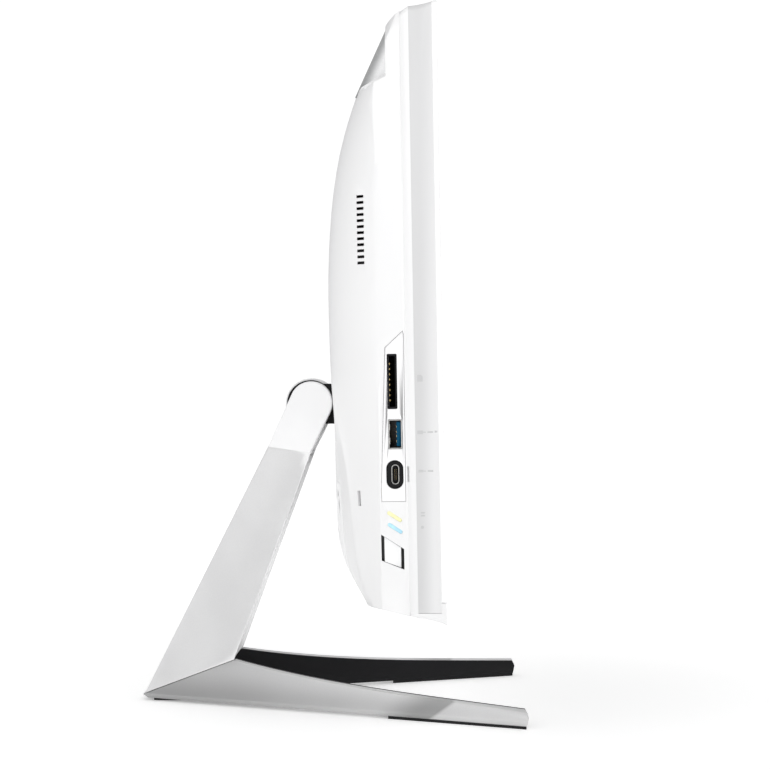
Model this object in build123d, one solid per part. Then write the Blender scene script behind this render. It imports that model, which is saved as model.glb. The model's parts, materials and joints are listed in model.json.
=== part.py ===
from build123d import *
import os

# All-in-one desktop computer on a splayed V-shaped metal stand.  Millimetres, +Z up.
# Origin: on the desk, at the middle of the footprint.  The screen faces -Y, +X is the user's right.
# The display head is drawn upright and then leaned back about the hinge axis by REST_TILT.

# ---------------------------------------------------------------- driving dimensions
WIDTH = 490.0            # overall width of the display head
FRONT_Y = -63.1          # plane of the cover glass, head upright
HEAD_BOTTOM = 65.6       # lower edge of the head at the front
HEAD_TOP = 363.6         # upper edge of the head at the front
HINGE_Y = 11.8           # hinge axis, parallel to X
HINGE_Z = 170.1
REST_TILT = 1.0          # degrees the head leans back at rest

GLASS_T = 2.4            # cover glass, and the front leg of the chin strip
BAND_DEPTH = 13.6        # the slanting side band ends here, measured back from the front plane
SEAM_DEPTH = 17.7        # seam between the mid frame and the rear cover
CREASE_DEPTH = 31.0      # end of the flat side wall of the rear cover
BAND_HALF = 243.0        # half widths of the head at those depths
SEAM_HALF = 241.0
CREASE_HALF = 239.5
CREST_HALF = 200.0       # the curved flank meets the crown here
BAND_HOLLOW = 0.5        # how far the side band curves inward
BAND_TOP = 361.0
BAND_BOTTOM = 68.9
SEAM_TOP = 358.6
SEAM_BOTTOM = 69.9
COVER_BOTTOM = 73.2      # underside of the rear cover behind the crease
SHELL = 2.2              # moulded wall thickness
CORNER_R = 3.0           # corner radius of the head seen from the front
FIT = 0.15               # gap between a cover and what it drops into

GLASS_BOTTOM = 76.6      # seam between the cover glass and the chin strip
FRAME_BOTTOM = 71.6      # lower end of the side band
PANEL_HALF = 221.5       # display panel
PANEL_BOTTOM = 91.0
PANEL_TOP = 347.0
CELL_FRONT = 2.6         # depths of the glass cell and of the backlight behind it
CELL_BACK = 4.4
PANEL_BACK = 10.8
CHASSIS_FRONT = 13.8     # steel chassis plate
CHASSIS_BACK = 15.0
BOARD_FRONT = 20.0       # motherboard
BOARD_BACK = 21.6

EXHAUST_DEPTH = 24.9     # flat rim in front of the exhaust hump
RIM_TOP = 355.2          # rear edge of the top face, on the rim
EXHAUST_TOP = 353.6
EXHAUST_HALF = 213.0
LEDGE_FRONT_Z = 327.8    # the ledge below the hump falls towards the rear
LEDGE_REAR_Z = 320.8
LEDGE_REAR_DEPTH = 40.6
TERRACES = ((228.0, 2.2), (220.5, 4.4))      # half width and rise of the steps beside the hump
LOWER_HALF = 150.0       # separate lower cover
LOWER_TOP = 130.0
LOWER_FRONT = 21.0

BARREL_R = 14.4          # hinge
CAP_R = 12.2
CAP_SHIFT = (-0.7, 0.5)  # the round end of the caps sits a little forward and up
KNUCKLE_R = 13.4
KNUCKLE_IN = 12.0
KNUCKLE_OUT = 16.0
SHAFT_R = 4.0
RUN_FIT = 0.05
CAP_IN = 17.0

STAND_REAR = 107.0       # lower rear end of the neck and the legs
STAND_TIP = -108.4       # front end of the legs
LEG_BOTTOM = 1.5
LEG_EDGE = 4.0           # top of the lower bevel of a leg
LEG_REAR_X = 10.0
LEG_TIP_X = 124.6
LEG_W = 13.5
MITRE_Y = 54.0           # front end of the mitre between the neck and a leg
MITRE_Z = 26.0
NECK_FOOT_X = 35.0
NECK_TOP_X = 31.0
NECK_REAR_TOP_X = 19.0
SEAM_REAR = (36.0, 145.7)    # seam between the neck and the hinge caps, as (y, z)
SEAM_FRONT = (11.0, 142.7)
NECK_WALL = 2.2

# Rear cover, as (height, depth at the crest, depth in the middle).
COVER_PROFILE = (
    (62.0, 35.0, 39.0),
    (73.0, 39.4, 48.0),
    (84.0, 43.0, 56.0),
    (98.0, 45.2, 59.8),
    (118.0, 46.9, 60.6),
    (138.0, 48.7, 60.6),
    (156.0, 51.6, 60.0),
    (176.0, 54.6, 59.0),
    (206.0, 55.6, 58.5),
    (238.0, 55.4, 58.4),
    (270.0, 53.0, 56.2),
    (300.0, 47.4, 50.6),
    (322.0, 40.2, 43.4),
    (342.0, 31.8, 34.6),
    (364.0, 21.6, 23.6),
)

# Left side, as (depth, height).
IO_OUTLINE = ((18.6, 124.8), (18.3, 204.2), (18.9, 206.4), (27.6, 198.4), (30.4, 129.8), (30.2, 124.8))
CARD_SLOT = (24.3, 182.2, 4.8, 26.4)         # depth, height, size in depth, size in height
USB_A = (23.2, 157.0, 6.8, 14.4)
USB_C = (23.7, 137.7, 8.2, 13.8)
LED_PIPES = (("led_pipe_amber", 24.2, 117.7), ("led_pipe_blue", 24.0, 112.1))
LED_SIZE = (8.0, 1.7)
LED_ANGLE = 33.0
VENT_COUNT = 12
VENT_START = 238.6
VENT_PITCH = 2.9
VENT_SIZE = (36.6, 40.0, 1.4)                # front and rear depth, height of one slot
BUTTON_HOLE = ((30.8, 109.2), (30.7, 96.7), (19.9, 92.3), (19.9, 102.2))
BUTTON_FACE = ((29.3, 108.0), (29.2, 96.4), (21.4, 93.2), (21.4, 102.9))
BUTTON_FLANGE = ((31.6, 110.4), (31.5, 96.0), (19.1, 91.1), (19.1, 103.0))
BUTTON_CENTRE = (25.4, 100.3)
PRY_NOTCH = (16.8, 134.2, 141.6)              # notch in the seam: front depth, lower and upper end
LOCK_AT = (225.4, 41.4, 126.0)               # x, depth, height of the security slot
LOCK_ANGLE = 27.0
SCREW_SPOTS = ((134, 92.0), (134, 123))      # lower cover screws, as (x, height)
SCREW_SEAT = 43.5
BOARD_SPOTS = ((-144, 108), (14, 108), (-144, 262), (14, 262))   # motherboard screws

# Connector insides: the same form as the openings above.
CARD_MOUTH = (24.3, 182.2, 2.9, 24.4)
USB_C_SEAT = (23.5, 137.7, 3.8, 9.6)
USB_C_RING = (23.5, 137.7, 3.7, 9.5)
USB_C_MOUTH = (23.5, 137.7, 3.0, 8.8)
SIDE_BOARD_DEPTH = 31.6

# Electronics, as heights and half widths in the head.
PROCESSOR_Z = 231.0
SINK_X = (-96, -40)
SINK_TOP = 36.0
PIPE_R = 3.0
PIPE_DEPTH = 39.0
OUTLET_Z = (292, 306)        # exhaust fins above the blower
BLOWER_AT = (90.0, 247.0)
BLOWER_HALF = 40.0
BLOWER_DEPTH = (20, 36)
BLOWER_WALL = 1.4
INLET_R = 26
HUB_R = 12.0
BLADES = 19
PORT_BOTTOM = 80.6           # rear connectors point down from here
PORT_TOP = 103
PORTS = (                    # name, x of each, width, height above the board
    ("dc_jack", (-112,), 9.5, 11.0),
    ("hdmi_port", (-92,), 15.0, 5.8),
    ("lan_port", (-66,), 16.2, 13.8),
    ("rear_usb_ports", (-40, -21, -2), 13.6, 15.4),
    ("audio_jack", (18,), 7.0, 7.0),
)
ROUND_PORTS = {"dc_jack": 3.0, "audio_jack": 1.8}    # bore radius

REST_POSE = Pos(0, HINGE_Y, HINGE_Z) * Rot(-REST_TILT, 0, 0) * Pos(0, -HINGE_Y, -HINGE_Z)


# ---------------------------------------------------------------- helpers
def block(x0, x1, y0, y1, z0, z1):
    centre = Pos((x0 + x1) / 2, (y0 + y1) / 2, (z0 + z1) / 2)
    return centre * Box(x1 - x0, y1 - y0, z1 - z0)


def head_block(x0, x1, d0, d1, z0, z1):
    """A block in the upright head, d measured back from the front plane."""
    return block(x0, x1, FRONT_Y + d0, FRONT_Y + d1, z0, z1)


def along_x(sketch, x0, x1):
    """Extrude a sketch drawn in (y, z) from x0 to x1."""
    return Pos(x0, 0, 0) * extrude(Plane.YZ * sketch, x1 - x0)


def polygon(points):
    return make_face(Polyline(*points, close=True))


def head_prism(points, x0, x1):
    """Extrude an outline drawn in (depth, height) from x0 to x1."""
    return along_x(polygon([(FRONT_Y + d, z) for d, z in points]), x0, x1)


def upright(sketch, d0, d1):
    """Extrude a sketch drawn in (x, z) between two depths of the head."""
    return extrude(Plane.XZ.offset(-(FRONT_Y + d1)) * sketch, d1 - d0)


def post(x, z, d0, d1, radius):
    return upright(Pos(x, z) * Circle(radius), d0, d1)


def x_cylinder(y, z, radius, x0, x1):
    return along_x(Pos(y, z) * Circle(radius), x0, x1)


def both_sides(shape):
    return [shape, mirror(shape, Plane.YZ)]


def save(name, shapes):
    if not isinstance(shapes, (list, tuple)):
        shapes = [shapes]
    solids = []
    for shape in shapes:
        solids.extend(shape.solids())
    export_step(solids[0] if len(solids) == 1 else Compound(solids), f"parts/{name}.step")


def save_head(name, shapes):
    if not isinstance(shapes, (list, tuple)):
        shapes = [shapes]
    save(name, [REST_POSE * shape for shape in shapes])


# ---------------------------------------------------------------- display front
def rounded_outline(half_width, bottom, top, radius=CORNER_R):
    return Pos(0, (bottom + top) / 2) * RectangleRounded(2 * half_width, top - bottom, radius)


def outline_at(sketch, depth):
    return Plane.XZ.offset(-(FRONT_Y + depth)) * sketch


def front_body():
    """Everything between the front plane and the end of the side band, as one solid."""
    hollow = BAND_HOLLOW
    middle = BAND_DEPTH / 2
    mid_half = (WIDTH / 2 + BAND_HALF) / 2 - hollow
    mid_bottom = (HEAD_BOTTOM + BAND_BOTTOM) / 2 + hollow
    mid_top = (HEAD_TOP + BAND_TOP) / 2 - hollow
    return loft([
        outline_at(rounded_outline(WIDTH / 2, HEAD_BOTTOM, HEAD_TOP), 0),
        outline_at(rounded_outline(mid_half, mid_bottom, mid_top), middle),
        outline_at(rounded_outline(BAND_HALF, BAND_BOTTOM, BAND_TOP), BAND_DEPTH),
    ])


def make_front(body):
    glass = body & head_block(-WIDTH, WIDTH, -1, GLASS_T, GLASS_BOTTOM, HEAD_TOP + 1)
    glass = fillet(glass.faces().sort_by(Axis.Y)[0].edges(), 0.6)

    cavity = head_block(-PANEL_HALF - 0.5, PANEL_HALF + 0.5, -1, PANEL_BACK + 0.4,
                        PANEL_BOTTOM - 0.5, PANEL_TOP + 0.5)
    service = head_block(-229, 229, PANEL_BACK, BAND_DEPTH + 1, 79, 351)
    lower_pocket = head_block(-215, 215, 5, PANEL_BACK + 1, 79, 88)
    camera_pocket = head_block(-16, 16, -1, BAND_DEPTH + 1, 349.5, 356.5)
    side_pocket = head_block(-240, -231, 5, BAND_DEPTH + 1, 84, 346)
    frame = body & head_block(-WIDTH, WIDTH, GLASS_T, BAND_DEPTH, FRAME_BOTTOM, HEAD_TOP + 1)
    frame -= [cavity, service, lower_pocket, camera_pocket] + both_sides(side_pocket)

    front_leg = head_block(-WIDTH, WIDTH, -1, GLASS_T, 0, GLASS_BOTTOM - 0.25)
    lower_leg = head_block(-WIDTH, WIDTH, GLASS_T, BAND_DEPTH, 0, FRAME_BOTTOM - 0.15)
    chin = body & (front_leg + lower_leg)
    save_head("cover_glass", glass)
    save_head("front_frame", frame)
    save_head("chin_strip", chin)


def make_display():
    cell = head_block(-PANEL_HALF, PANEL_HALF, CELL_FRONT, CELL_BACK, PANEL_BOTTOM, PANEL_TOP)
    tray = head_block(-PANEL_HALF, PANEL_HALF, CELL_BACK, PANEL_BACK, PANEL_BOTTOM, PANEL_TOP)
    tray -= head_block(-170, 170, PANEL_BACK - 1, PANEL_BACK + 1, 120, 320)
    camera = head_block(-14, 14, GLASS_T + 0.2, 6.5, 350, 356)
    camera += post(0, 353, GLASS_T + 0.1, GLASS_T + 0.3, 2.6)
    save_head("lcd_cell", cell)
    save_head("backlight_unit", tray)
    save_head("webcam_module", camera)


def make_mid_frame():
    outer = loft([
        outline_at(rounded_outline(BAND_HALF, BAND_BOTTOM, BAND_TOP), BAND_DEPTH),
        outline_at(rounded_outline(SEAM_HALF, SEAM_BOTTOM, SEAM_TOP), SEAM_DEPTH),
    ], ruled=True)
    opening = upright(rounded_outline(233.5, 78, 350), BAND_DEPTH - 1, SEAM_DEPTH + 1)
    ring = outer - opening
    ledge_out = rounded_outline(233.6, 77.9, 350.1)
    ledge_in = rounded_outline(226, 85, 343)
    ring += upright(ledge_out - ledge_in, CHASSIS_BACK, CHASSIS_BACK + 1.2)
    notch_front, notch_low, notch_high = PRY_NOTCH
    ring -= head_block(-246, -239.4, notch_front, SEAM_DEPTH + 1, notch_low, notch_high)
    save_head("mid_frame", ring)

    plate = upright(rounded_outline(233.2, 78.3, 349.7), CHASSIS_FRONT, CHASSIS_BACK)
    plate -= head_block(-124, -88, 0, 30, 92.5, 98.8)
    for x in (-190, 60, 170):
        plate -= upright(Pos(x, 310) * RectangleRounded(70, 34, 6), 0, 30)
    rib = head_block(-225, 225, CHASSIS_BACK - 0.1, CHASSIS_BACK + 3, 277, 280)
    plate += rib
    save_head("chassis_plate", plate)


# ---------------------------------------------------------------- rear cover
def cover_section(height, crest, centre, inset):
    wall = min(CREASE_DEPTH, SEAM_DEPTH + 0.6 * (crest - SEAM_DEPTH))
    y_seam = FRONT_Y + SEAM_DEPTH
    y_wall = FRONT_Y + wall
    y_crest = FRONT_Y + crest - inset
    y_centre = FRONT_Y + centre - inset
    x_seam = SEAM_HALF - inset
    x_wall = CREASE_HALF - inset
    x_crest = CREST_HALF - inset / 2
    edges = [Line((-x_seam, y_seam), (x_seam, y_seam))]
    edges.append(Line((x_seam, y_seam), (x_wall, y_wall)))
    edges.append(TangentArc((x_crest, y_crest), (x_wall, y_wall), tangent=(1, 0)))
    edges.append(ThreePointArc((x_crest, y_crest), (0, y_centre), (-x_crest, y_crest)))
    edges.append(TangentArc((-x_crest, y_crest), (-x_wall, y_wall), tangent=(-1, 0)))
    edges.append(Line((-x_wall, y_wall), (-x_seam, y_seam)))
    return Pos(0, 0, height) * make_face(edges)


def cover_solid(inset):
    """The outer skin of the rear cover (inset 0), or the space inside it."""
    body = loft([cover_section(*row, inset) for row in COVER_PROFILE])
    side_view = head_prism([
        (SEAM_DEPTH, SEAM_BOTTOM + inset), (CREASE_DEPTH, COVER_BOTTOM + inset),
        (70, COVER_BOTTOM + inset), (70, RIM_TOP - 20), (EXHAUST_DEPTH, RIM_TOP - inset),
        (SEAM_DEPTH, SEAM_TOP - inset),
    ], -WIDTH, WIDTH)
    front_view = upright(rounded_outline(SEAM_HALF + 5 - inset, SEAM_BOTTOM - 5 + inset,
                                         SEAM_TOP + 5 - inset, CORNER_R), 0, 80)
    return body & side_view & front_view


def exhaust_step(inset):
    """What is taken off the back of the cover so that the exhaust hump can sit there."""
    return head_prism([
        (EXHAUST_DEPTH - inset, 380), (EXHAUST_DEPTH - inset, LEDGE_FRONT_Z - inset),
        (LEDGE_REAR_DEPTH, LEDGE_REAR_Z - inset), (70, LEDGE_REAR_Z - inset), (70, 380),
    ], -WIDTH, WIDTH)


def led_slot(depth, height, play):
    length, width = LED_SIZE
    shape = SlotOverall(length + 2 * play, width + 2 * play)
    return Pos(FRONT_Y + depth, height) * (Rot(0, 0, LED_ANGLE) * shape)


def lock_cutter(width, height, deep):
    x, depth, z = LOCK_AT
    return Pos(-x, FRONT_Y + depth, z) * (Rot(0, 0, LOCK_ANGLE) * Box(width, deep, height))


def flank_vents():
    """A column of short slots on each flank."""
    cuts = []
    for side in (-1, 1):
        x0, x1 = sorted((side * 226, side * 242))
        for row in range(VENT_COUNT):
            z = VENT_START + row * VENT_PITCH
            front, rear, tall = VENT_SIZE
            cuts.append(head_block(x0, x1, front, rear, z, z + tall))
    return cuts


def lower_zone(grow):
    half = LOWER_HALF + grow
    return head_block(-half, half, LOWER_FRONT - grow, 80, 40, LOWER_TOP + grow)


def make_rear_cover():
    outer = cover_solid(0)
    inner = cover_solid(SHELL)
    stepped = outer - exhaust_step(0)
    cover = stepped - (inner - exhaust_step(SHELL))

    for half, lift in TERRACES:
        step = head_prism([
            (EXHAUST_DEPTH - 0.2, LEDGE_FRONT_Z - 1), (EXHAUST_DEPTH - 0.2, LEDGE_FRONT_Z + lift),
            (LEDGE_REAR_DEPTH, LEDGE_REAR_Z + 0.5 * lift), (LEDGE_REAR_DEPTH, LEDGE_REAR_Z - 1),
        ], EXHAUST_HALF + 1.2, half)
        cover += [part & outer for part in both_sides(step)]

    opening = EXHAUST_HALF - 6
    cover -= head_block(-opening, opening, 20, 60, LEDGE_FRONT_Z + 1.6, EXHAUST_TOP - 5)
    cover -= lower_zone(0)
    cover -= head_block(-17.6, 17.6, 40, 70, 157.0, 184.6)
    cover -= head_prism(IO_OUTLINE, -250, -225)
    holes = [along_x(led_slot(depth, height, 0.05), -250, -225) for _, depth, height in LED_PIPES]
    holes.append(head_prism(BUTTON_HOLE, -250, -225))
    holes.append(lock_cutter(3.2, 7.4, 30))
    cover -= holes + flank_vents()
    save_head("rear_cover", cover)

    lower = (outer - inner) & lower_zone(-FIT)
    slots = []
    for x in range(-117, 118, 9):
        slots.append(upright(Pos(x, 112) * SlotOverall(20, 3.4, rotation=90), 45, 70))
        slots.append(upright(Pos(x, 91) * SlotOverall(12, 3.4, rotation=90), 47, 70))
    lower -= slots
    lower -= head_block(-122, 42, 24.2, 41.8, 60, 82)
    for side in (-1, 1):
        for x, z in SCREW_SPOTS:
            lower += post(side * x, z, SCREW_SEAT, 60, 4.6) & outer
            lower -= post(side * x, z, SCREW_SEAT + 2, 70, 3.0)
            lower -= post(side * x, z, SCREW_SEAT - 1, 70, 1.6)
    save_head("lower_rear_cover", lower)


def make_exhaust_grille():
    top = (EXHAUST_DEPTH + 0.1, EXHAUST_TOP)
    low = (LEDGE_REAR_DEPTH - 0.3, LEDGE_REAR_Z + 0.4)
    root = (EXHAUST_DEPTH + 0.1, LEDGE_FRONT_Z + 0.2)
    hump = head_prism([top, low, root], -EXHAUST_HALF, EXHAUST_HALF)
    wall = 1.8
    inside = head_prism([(root[0] - 1, top[1] - 2 * wall), (low[0] - wall - 1.2, low[1] + wall + 1.2),
                         (root[0] - 1, root[1] + wall + 1)],
                        -EXHAUST_HALF + wall, EXHAUST_HALF - wall)
    grille = hump - inside
    slope_d = low[0] - top[0]
    slope_z = low[1] - top[1]
    start = 0.14
    stop = 0.80
    cut_top = (top[0] + start * slope_d, top[1] + start * slope_z)
    cut_low = (top[0] + stop * slope_d, top[1] + stop * slope_z)
    reach = 3.4
    outline = [(cut_top[0] - reach, cut_top[1] - 1), (cut_top[0] + reach, cut_top[1] + 1),
               (cut_low[0] + reach, cut_low[1] + 1), (cut_low[0] - reach, cut_low[1] - 1)]
    pitch = 6.2
    count = 32
    grille -= [head_prism(outline, step * pitch - 1.9, step * pitch + 1.9)
               for step in range(-count, count + 1)]
    outer = EXHAUST_HALF - 6.2
    flange = head_block(-outer, outer, EXHAUST_DEPTH - 3, EXHAUST_DEPTH + 0.3,
                        LEDGE_FRONT_Z + 1.8, EXHAUST_TOP - 5.2)
    flange -= head_block(2 - outer, outer - 2, 20, 40, LEDGE_FRONT_Z + 3.8, EXHAUST_TOP - 7)
    grille += flange
    save_head("exhaust_grille", grille)


# ---------------------------------------------------------------- left side connectors
def slot_sketch(spec, grow, radius):
    depth, height, across, tall = spec
    shape = RectangleRounded(across + 2 * grow, tall + 2 * grow, radius)
    return Pos(FRONT_Y + depth, height) * shape


def make_side_panel():
    """Small white panel around the connectors, nearly flush with the rear cover."""
    outline = offset(polygon([(FRONT_Y + depth, z) for depth, z in IO_OUTLINE]), -FIT)
    plug = along_x(outline, -242, -234.5) - tilted_cut(-239.75, 24.3, 165, 0.113, 0.008)
    for spec, radius in ((CARD_SLOT, 0.6), (USB_A, 0.6), (USB_C, 4.0)):
        plug -= along_x(slot_sketch(spec, 0, radius), -250, -230)
    save_head("side_io_panel", plug)


def side_foot(x0, x1, z0, z1, front=26.4):
    """The part of a connector that reaches back to the side board."""
    return head_block(x0, x1, front, SIDE_BOARD_DEPTH, z0, z1)


def make_card_reader():
    reader = along_x(slot_sketch(CARD_SLOT, -0.1, 0.4), -237.4, -204)
    reader -= along_x(slot_sketch(CARD_MOUTH, 0, 0.2), -240, -208)
    save_head("card_reader", reader + side_foot(-228, -204, 171, 194, 26.5))


def make_usb_a():
    shell = along_x(slot_sketch(USB_A, -0.1, 0.5), -237.8, -220)
    shell -= along_x(slot_sketch(USB_A, -0.6, 0.2), -240, -222)
    save_head("usb_a_shell", shell + side_foot(-222, -206, 151, 163))
    save_head("usb_a_tongue", head_block(-236.8, -222, 20.6, 22.6, 151.2, 162.8))


def make_usb_c():
    surround = along_x(slot_sketch(USB_C, -0.08, 3.9), -238.2, -233)
    surround -= along_x(slot_sketch(USB_C_SEAT, 0, 1.85), -240, -230)
    save_head("usb_c_surround", surround)
    ring = along_x(slot_sketch(USB_C_RING, 0, 1.8), -237.6, -228)
    ring -= along_x(slot_sketch(USB_C_MOUTH, 0, 1.45), -240, -229.5)
    save_head("usb_c_shell", ring + side_foot(-228.1, -214, 133.2, 142.2, 20.8))
    save_head("usb_c_tongue", head_block(-236.6, -229.5, 23.15, 23.85, 134.7, 140.7))


def make_side_lights_and_board():
    for name, depth, height in LED_PIPES:
        save_head(name, along_x(led_slot(depth, height, 0), -239.7, -230))
    board = head_block(-232, -192, SIDE_BOARD_DEPTH, SIDE_BOARD_DEPTH + 1.6, 95, 205)
    save_head("side_io_board", board)


def tilted_cut(x, depth, z, slope_back, slope_up):
    """Everything outside a plane through a point of the left side; it recedes by these slopes."""
    outward = Vector(-1, slope_back, slope_up)
    return extrude(Plane(origin=(x, FRONT_Y + depth, z), z_dir=outward) * Rectangle(200, 200), 12)


def make_power_button():
    depth, z = BUTTON_CENTRE
    button = head_prism(BUTTON_FACE, -241.5, -234.5)
    button -= tilted_cut(-240.1, depth, z, 0.14, 0.14)
    button -= tilted_cut(-240.2, depth - 0.8, z - 1.3, -0.16, -0.14)
    button += head_prism(BUTTON_FLANGE, -236.4, -235.2)
    button += x_cylinder(FRONT_Y + depth, z, 1.6, -235.4, -231.6)
    save_head("power_button", button)
    switch = head_block(-230.8, -226.8, 22.4, 28.4, z - 3, z + 3)
    switch += head_block(-229, -227, 28.3, 31.6, z - 1.5, z + 1.5)
    save_head("button_switch", switch)


def make_lock_plate():
    """Steel plate behind the flank that takes the load of a security lock."""
    x, depth, z = LOCK_AT
    plate = Pos(0, -4, 0) * (Box(12, 1.2, 20) - Box(3.2, 10, 7.4))
    save_head("lock_slot_plate", Pos(-x, FRONT_Y + depth, z) * (Rot(0, 0, LOCK_ANGLE) * plate))


# ---------------------------------------------------------------- electronics
def make_motherboard():
    board = head_block(-150, 20, BOARD_FRONT, BOARD_BACK, 100, 270)
    board -= head_block(-140, -128, 0, 60, 117, 129)
    board -= [post(x, z, 0, 60, 1.7) for x, z in BOARD_SPOTS]
    board -= [head_block(-61, -49, 0, 60, z - 6, z + 6) for z in (147, 193)]
    save_head("motherboard", board)


def make_heatsink():
    """Finned block on the processor, with a solid bar where the heat pipe lies."""
    pitch = 4.2
    first = 207.0
    sink = head_block(*SINK_X, BOARD_BACK, 25, 206, 256)
    for fin in range(12):
        z = first + fin * pitch
        if abs(z + 0.6 - PROCESSOR_Z) > 5:
            sink += head_block(*SINK_X, 24.9, SINK_TOP, z, z + 1.2)
    sink += head_block(*SINK_X, 24.9, SINK_TOP, PROCESSOR_Z - 4.5, PROCESSOR_Z + 4.5)
    save_head("cpu_heatsink", sink)


def make_exhaust_fins():
    first = 53.0
    pitch = 4.0
    fins = head_block(52, 128, 20, 21, *OUTLET_Z)
    fins += [head_block(first + index * pitch, first + index * pitch + 0.8, 20.9, 35.9, *OUTLET_Z)
             for index in range(19)]
    save_head("exhaust_fins", fins)


def make_heat_pipe():
    turn_x = 36
    outlet = sum(OUTLET_Z) / 2
    path = FilletPolyline((-90, PROCESSOR_Z), (turn_x, PROCESSOR_Z), (turn_x, outlet), (126, outlet),
                          radius=16)
    placed = Plane.XZ.offset(-(FRONT_Y + PIPE_DEPTH)) * path
    start = Plane(origin=placed @ 0, z_dir=placed % 0)
    save_head("heat_pipe", sweep(start * Circle(PIPE_R), path=placed))


def make_plug_in_boards():
    """Memory module and wireless card with the sockets that hold them."""
    save_head("ram_module", head_block(-140, -72, 25.2, 28.4, 146, 176))
    ram_socket = head_block(-142, -70, BOARD_BACK, 29.6, 174, 183)
    ram_socket -= head_block(-140.1, -71.9, 25.15, 28.45, 170, 176.1)
    save_head("wifi_card", head_block(-20, 2, 23.2, 25.2, 130, 160))
    wifi_socket = head_block(-21, 3, BOARD_BACK, 26.2, 160, 166)
    save_head("board_sockets", [ram_socket, wifi_socket])


def make_drive():
    """Storage drive in a sheet tray with two side lips."""
    low, high = 118, 222
    save_head("storage_drive", head_block(142, 211.8, 20.0, 27.0, low + 2, high - 2))
    tray = head_block(140, 213.8, CHASSIS_BACK, 19.9, low, high)
    tray -= head_block(141.4, 212.4, 16.2, 30, low - 8, high + 8)
    lips = [head_block(140, 141.4, 19.8, 25, low, high), head_block(212.4, 213.8, 19.8, 25, low, high)]
    save_head("drive_tray", tray + lips)


def make_blower():
    x, z = BLOWER_AT
    back, front = BLOWER_DEPTH
    inner_back = back + BLOWER_WALL
    inner_front = front - BLOWER_WALL
    case = head_block(x - BLOWER_HALF, x + BLOWER_HALF, back, front, z - BLOWER_HALF, z + 43)
    case -= post(x, z, inner_back, inner_front, 37.5)
    case -= head_block(x - 37, x + 37, inner_back, inner_front, z, z + 45)
    case -= post(x, z, 30, 40, INLET_R)
    case += post(x, z, 21.3, 23.4, 5.0) - post(x, z, 20, 40, 2.0)
    save_head("blower_housing", case)


def make_fan_rotor():
    x, z = BLOWER_AT
    rotor_back = 24.4
    rotor_front = 33.4
    rotor = post(x, z, rotor_back, rotor_front, HUB_R)
    rotor += post(x, z, rotor_back, rotor_back + 1, 32.0)
    rotor += post(x, z, 22.0, rotor_back + 0.1, 1.95)
    vane = Pos(21.5, 0) * (Rot(0, 0, 24) * Rectangle(22.0, 1.1))
    for blade in range(BLADES):
        turned = Rot(0, 0, blade * 360.0 / BLADES) * vane
        rotor += upright(Pos(x, z) * turned, rotor_back + 0.9, rotor_front)
    save_head("fan_rotor", rotor)


def make_rear_ports():
    """Connectors on the lower edge of the motherboard and the shield around their mouths."""
    shield = head_block(-120, 40, 24.6, 41.4, PORT_BOTTOM - 1.0, PORT_BOTTOM)
    base = BOARD_BACK
    for name, places, width, tall in PORTS:
        bodies = []
        for x in places:
            body = head_block(x - width / 2, x + width / 2, base, base + 4 + tall,
                              PORT_BOTTOM + 0.2, PORT_TOP)
            axis_y = FRONT_Y + base + 4 + tall / 2
            if name in ROUND_PORTS:
                hole = Pos(x, axis_y, PORT_BOTTOM) * Cylinder(ROUND_PORTS[name], 24)
            else:
                hole = head_block(x - width / 2 + 0.6, x + width / 2 - 0.6, base + 4.6,
                                  base + 3.4 + tall, PORT_BOTTOM - 5, PORT_BOTTOM + 16)
            body -= hole
            shield -= hole
            if name == "dc_jack":
                body += Pos(x, axis_y, 92) * Cylinder(0.9, 20)
            bodies.append(body)
        save_head(name, bodies)
    save_head("io_shield", shield)


def make_display_cable():
    """Flat ribbon from the panel, under the edge of the chassis plate, up to the motherboard."""
    thick = 0.5
    bend = 97.4
    top = 106
    rear = 18.9
    ribbon = head_prism([
        (PANEL_BACK, top), (PANEL_BACK + thick, top), (PANEL_BACK + thick, bend + thick),
        (rear, bend + thick), (rear, top), (rear + thick, top), (rear + thick, bend), (PANEL_BACK, bend),
    ], -120, -92)
    plug = head_block(-120, -92, rear + 0.3, BOARD_FRONT, 101.5, top)
    save_head("display_cable", ribbon + plug)


def make_speakers():
    speaker = head_block(160, 226, 19, 34, 77.5, 92)
    speaker -= [Pos(x, FRONT_Y + 26.5, 77.5) * Cylinder(5.6, 3) for x in (182, 205)]
    save_head("speakers", both_sides(speaker))


def screw(x, z, seat, length, head_r):
    """A pan-head screw driven towards -Y, its head resting at depth seat."""
    head = post(x, z, seat, seat + 1.8, head_r)
    socket = upright(Pos(x, z) * RegularPolygon(1.3, 6), seat + 0.8, seat + 3)
    return head - socket + post(x, z, seat - length, seat, 1.45)


def spacer(x, z, end, radius):
    return post(x, z, CHASSIS_BACK, end, radius) - post(x, z, CHASSIS_BACK - 1, end + 1, 1.5)


def make_fasteners():
    screws = [screw(x, z, BOARD_BACK, 5.6, 2.8) for x, z in BOARD_SPOTS]
    posts = [spacer(x, z, BOARD_FRONT, 3.2) for x, z in BOARD_SPOTS]
    for side in (-1, 1):
        for x, z in SCREW_SPOTS:
            screws.append(screw(side * x, z, SCREW_SEAT + 2, 12, 2.7))
            posts.append(spacer(side * x, z, SCREW_SEAT, 3.6))
    save_head("screws", screws)
    save_head("standoffs", posts)


# ---------------------------------------------------------------- hinge
def cap_outline(radius, shrink=0.0):
    """Round end near the hinge axis joined to the seam with the neck, in (y, z)."""
    rear = (SEAM_REAR[0] - shrink, SEAM_REAR[1])
    front = (SEAM_FRONT[0] + shrink, SEAM_FRONT[1])
    circle = Edge.make_circle(radius, Plane((HINGE_Y + CAP_SHIFT[0], HINGE_Z + CAP_SHIFT[1], 0)))
    seam = Edge.make_line(rear, front)
    return make_hull([circle, seam])


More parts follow.
